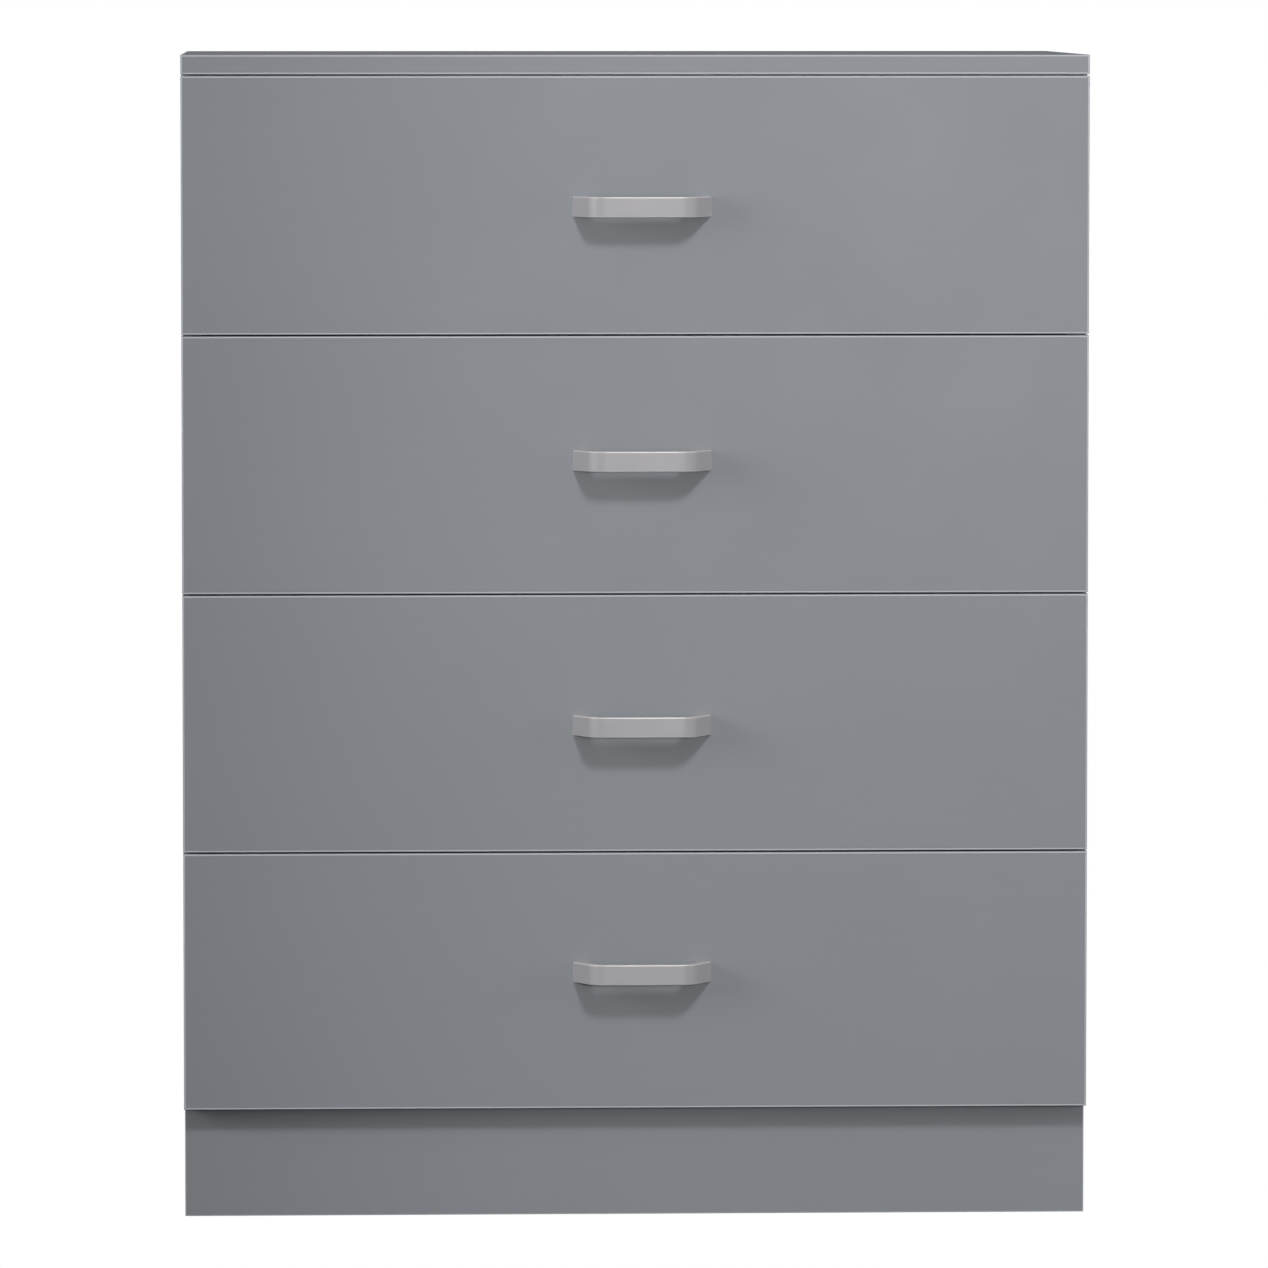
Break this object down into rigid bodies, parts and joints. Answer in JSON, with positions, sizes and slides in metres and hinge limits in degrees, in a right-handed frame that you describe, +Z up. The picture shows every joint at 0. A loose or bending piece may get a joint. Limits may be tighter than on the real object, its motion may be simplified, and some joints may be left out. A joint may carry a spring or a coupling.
{
  "type": "chest of drawers",
  "caption": "Free-standing grey chest of drawers with slab fronts, bent metal strap handles, roller runners and a recessed plinth.",
  "frame": {"origin": "on the floor, under the middle of the whole chest's bounding box, handles included", "axes": "+Z is up, the drawer fronts and handles face -Y, and +X is to the right of someone who stands in front of the chest"},
  "size_m": [0.7, 0.426, 0.9015],
  "materials": {
    "grey_board": "chipboard with a smooth matt grey foil",
    "box_board": "thin board with a light grey foil",
    "hardboard": "bare brown hardboard",
    "handle_metal": "satin silver coating",
    "runner_steel": "off-white powder coat on folded sheet",
    "nylon": "smooth white",
    "glide_plastic": "smooth brown"
  },
  "bodies": {
    "carcass": {"top_panel": "grey_board", "left_side_panel": "grey_board", "right_side_panel": "grey_board", "plinth_panel": "grey_board", "front_top_rail": "grey_board", "middle_rail": "grey_board", "rear_bottom_rail": "grey_board", "back_panel": "hardboard", "glide_front_left": "glide_plastic", "glide_front_right": "glide_plastic", "glide_rear_left": "glide_plastic", "glide_rear_right": "glide_plastic", "cabinet_runner_1_left": "runner_steel", "cabinet_runner_1_right": "runner_steel", "cabinet_runner_2_left": "runner_steel", "cabinet_runner_2_right": "runner_steel", "cabinet_runner_3_left": "runner_steel", "cabinet_runner_3_right": "runner_steel", "cabinet_runner_4_left": "runner_steel", "cabinet_runner_4_right": "runner_steel"},
    "drawer_1": {"drawer_1_front": "grey_board", "drawer_1_back": "box_board", "drawer_1_base": "hardboard", "drawer_1_left_side": "box_board", "drawer_1_right_side": "box_board", "drawer_1_runner_left": "runner_steel", "drawer_1_runner_right": "runner_steel", "drawer_1_handle": "handle_metal"},
    "drawer_2": {"drawer_2_front": "grey_board", "drawer_2_back": "box_board", "drawer_2_base": "hardboard", "drawer_2_left_side": "box_board", "drawer_2_right_side": "box_board", "drawer_2_runner_left": "runner_steel", "drawer_2_runner_right": "runner_steel", "drawer_2_handle": "handle_metal"},
    "drawer_3": {"drawer_3_front": "grey_board", "drawer_3_back": "box_board", "drawer_3_base": "hardboard", "drawer_3_left_side": "box_board", "drawer_3_right_side": "box_board", "drawer_3_runner_left": "runner_steel", "drawer_3_runner_right": "runner_steel", "drawer_3_handle": "handle_metal"},
    "drawer_4": {"drawer_4_front": "grey_board", "drawer_4_back": "box_board", "drawer_4_base": "hardboard", "drawer_4_left_side": "box_board", "drawer_4_right_side": "box_board", "drawer_4_runner_left": "runner_steel", "drawer_4_runner_right": "runner_steel", "drawer_4_handle": "handle_metal"},
    "roller_1_left": {"runner_roller_1_left": "nylon"},
    "roller_1_right": {"runner_roller_1_right": "nylon"},
    "roller_2_left": {"runner_roller_2_left": "nylon"},
    "roller_2_right": {"runner_roller_2_right": "nylon"},
    "roller_3_left": {"runner_roller_3_left": "nylon"},
    "roller_3_right": {"runner_roller_3_right": "nylon"},
    "roller_4_left": {"runner_roller_4_left": "nylon"},
    "roller_4_right": {"runner_roller_4_right": "nylon"}
  },
  "joints": [
    {"name": "drawer_1_slide", "type": "slide", "parent": "carcass", "child": "drawer_1", "axis": [0, -1, 0], "range_m": [0, 0.26]},
    {"name": "drawer_2_slide", "type": "slide", "parent": "carcass", "child": "drawer_2", "axis": [0, -1, 0], "range_m": [0, 0.26]},
    {"name": "drawer_3_slide", "type": "slide", "parent": "carcass", "child": "drawer_3", "axis": [0, -1, 0], "range_m": [0, 0.26]},
    {"name": "drawer_4_slide", "type": "slide", "parent": "carcass", "child": "drawer_4", "axis": [0, -1, 0], "range_m": [0, 0.26]},
    {"name": "roller_1_left_spin", "type": "hinge", "parent": "carcass", "child": "roller_1_left", "pos_m": [-0.32913, -0.157, 0.7155], "axis": [1, 0, 0], "continuous": true},
    {"name": "roller_1_right_spin", "type": "hinge", "parent": "carcass", "child": "roller_1_right", "pos_m": [0.32913, -0.157, 0.7155], "axis": [1, 0, 0], "continuous": true},
    {"name": "roller_2_left_spin", "type": "hinge", "parent": "carcass", "child": "roller_2_left", "pos_m": [-0.32913, -0.157, 0.5155], "axis": [1, 0, 0], "continuous": true},
    {"name": "roller_2_right_spin", "type": "hinge", "parent": "carcass", "child": "roller_2_right", "pos_m": [0.32913, -0.157, 0.5155], "axis": [1, 0, 0], "continuous": true},
    {"name": "roller_3_left_spin", "type": "hinge", "parent": "carcass", "child": "roller_3_left", "pos_m": [-0.32913, -0.157, 0.3155], "axis": [1, 0, 0], "continuous": true},
    {"name": "roller_3_right_spin", "type": "hinge", "parent": "carcass", "child": "roller_3_right", "pos_m": [0.32913, -0.157, 0.3155], "axis": [1, 0, 0], "continuous": true},
    {"name": "roller_4_left_spin", "type": "hinge", "parent": "carcass", "child": "roller_4_left", "pos_m": [-0.32913, -0.157, 0.1155], "axis": [1, 0, 0], "continuous": true},
    {"name": "roller_4_right_spin", "type": "hinge", "parent": "carcass", "child": "roller_4_right", "pos_m": [0.32913, -0.157, 0.1155], "axis": [1, 0, 0], "continuous": true}
  ],
  "couplings": [
    {"joint": "roller_1_left_spin", "follows": "drawer_1_slide", "rad_per_m": 121.21},
    {"joint": "roller_1_right_spin", "follows": "drawer_1_slide", "rad_per_m": 121.21},
    {"joint": "roller_2_left_spin", "follows": "drawer_2_slide", "rad_per_m": 121.21},
    {"joint": "roller_2_right_spin", "follows": "drawer_2_slide", "rad_per_m": 121.21},
    {"joint": "roller_3_left_spin", "follows": "drawer_3_slide", "rad_per_m": 121.21},
    {"joint": "roller_3_right_spin", "follows": "drawer_3_slide", "rad_per_m": 121.21},
    {"joint": "roller_4_left_spin", "follows": "drawer_4_slide", "rad_per_m": 121.21},
    {"joint": "roller_4_right_spin", "follows": "drawer_4_slide", "rad_per_m": 121.21}
  ]
}
